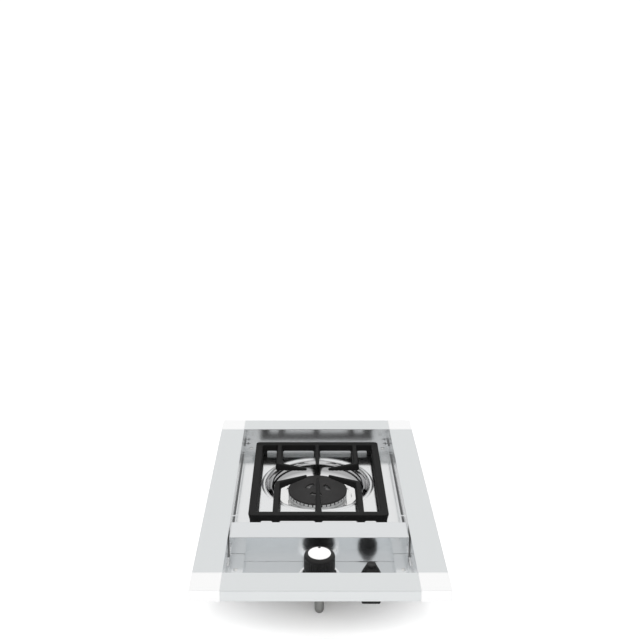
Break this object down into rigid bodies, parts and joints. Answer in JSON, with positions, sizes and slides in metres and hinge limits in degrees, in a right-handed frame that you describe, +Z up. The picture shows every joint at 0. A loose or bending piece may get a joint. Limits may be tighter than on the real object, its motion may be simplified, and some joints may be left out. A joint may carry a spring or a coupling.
{
  "type": "built-in side burner",
  "caption": "Drop-in gas side burner for an outdoor kitchen counter: steel trim, sunk deck, cast grate over a capped burner, and a knob and spark button in a front bay.",
  "frame": {"origin": "middle of the counter cut-out, level with the counter's top, on which the trim rests", "axes": "X to the right, Y from the control bay to the back, Z up"},
  "size_m": [0.356, 0.55, 0.1181],
  "materials": {
    "trim_steel": "brushed stainless sheet",
    "corner_metal": "bright polished casting",
    "box_steel": "plain satin stainless sheet",
    "deck_steel": "satin stainless sheet with a soft mirror",
    "fastener_steel": "bright plated steel",
    "grate_iron": "matt black enamelled casting",
    "bright_metal": "polished stainless",
    "burner_aluminium": "dull cast aluminium",
    "cap_enamel": "dark grey satin enamel",
    "tube_steel": "aluminised steel tube",
    "brass": "machined brass",
    "spring_steel": "ground steel",
    "black_plastic": "satin black moulding",
    "knob_metal": "bright turned disc",
    "ceramic": "glazed white ceramic",
    "lead_rubber": "grey silicone sleeve"
  },
  "bodies": {
    "frame": {"burner_base": "burner_aluminium", "burner_box": "box_steel", "burner_screws": "fastener_steel", "burner_support": "box_steel", "button_spring": "spring_steel", "control_panel": "deck_steel", "cross_shelf": "deck_steel", "deck_brackets": "box_steel", "deck_panel": "deck_steel", "deck_screws": "fastener_steel", "drip_bowl": "bright_metal", "electrode_boot": "lead_rubber", "electrode_clip": "fastener_steel", "electrode_insulator": "ceramic", "electrode_pin": "spring_steel", "gas_injector": "brass", "gas_inlet_fitting": "brass", "gas_pipe": "tube_steel", "gas_pipe_clip": "box_steel", "igniter_collar": "black_plastic", "igniter_housing": "black_plastic", "ignition_lead": "lead_rubber", "knob_bezel": "bright_metal", "lead_clips": "box_steel", "mixing_tube": "tube_steel", "panel_screws": "fastener_steel", "piezo_element": "ceramic", "shelf_screws": "fastener_steel", "trim_corner_back_left": "corner_metal", "trim_corner_back_right": "corner_metal", "trim_corner_front_left": "corner_metal", "trim_corner_front_right": "corner_metal", "trim_nuts": "fastener_steel", "trim_rail_back": "trim_steel", "trim_rail_front": "trim_steel", "trim_rail_left": "trim_steel", "trim_rail_right": "trim_steel", "valve_body": "brass", "valve_bonnet": "brass", "valve_screws": "fastener_steel"},
    "grate": {"grate": "grate_iron"},
    "crown": {"burner_crown": "burner_aluminium"},
    "cap": {"burner_cap": "cap_enamel"},
    "plug": {"valve_plug": "brass", "valve_spring": "spring_steel"},
    "knob": {"valve_stem": "spring_steel", "knob_body": "black_plastic", "knob_disc": "knob_metal"},
    "igniter_button": {"igniter_button": "black_plastic"},
    "air_shutter": {"air_shutter": "tube_steel"}
  },
  "joints": [
    {"name": "grate_lift", "type": "slide", "parent": "frame", "child": "grate", "axis": [0, 0, 1], "range_m": [0, 0.06]},
    {"name": "crown_lift", "type": "slide", "parent": "frame", "child": "crown", "axis": [0, 0, 1], "range_m": [0, 0.009]},
    {"name": "cap_lift", "type": "slide", "parent": "crown", "child": "cap", "axis": [0, 0, 1], "range_m": [0, 0.009]},
    {"name": "knob_turn", "type": "hinge", "parent": "frame", "child": "plug", "pos_m": [0, -0.168, -0.05], "axis": [0, 0, 1], "range_deg": [0, 270]},
    {"name": "knob_push", "type": "slide", "parent": "plug", "child": "knob", "axis": [0, 0, -1], "range_m": [0, 0.003], "stiffness_N_per_m": 1500, "springref_m": -0.004, "deforming": ["valve_spring"]},
    {"name": "igniter_push", "type": "slide", "parent": "frame", "child": "igniter_button", "axis": [0, 0, -1], "range_m": [0, 0.005], "stiffness_N_per_m": 900, "springref_m": -0.004, "deforming": ["button_spring"]},
    {"name": "shutter_turn", "type": "hinge", "parent": "frame", "child": "air_shutter", "pos_m": [0, -0.132, -0.062], "axis": [0, 1, 0], "range_deg": [0, 60]}
  ]
}
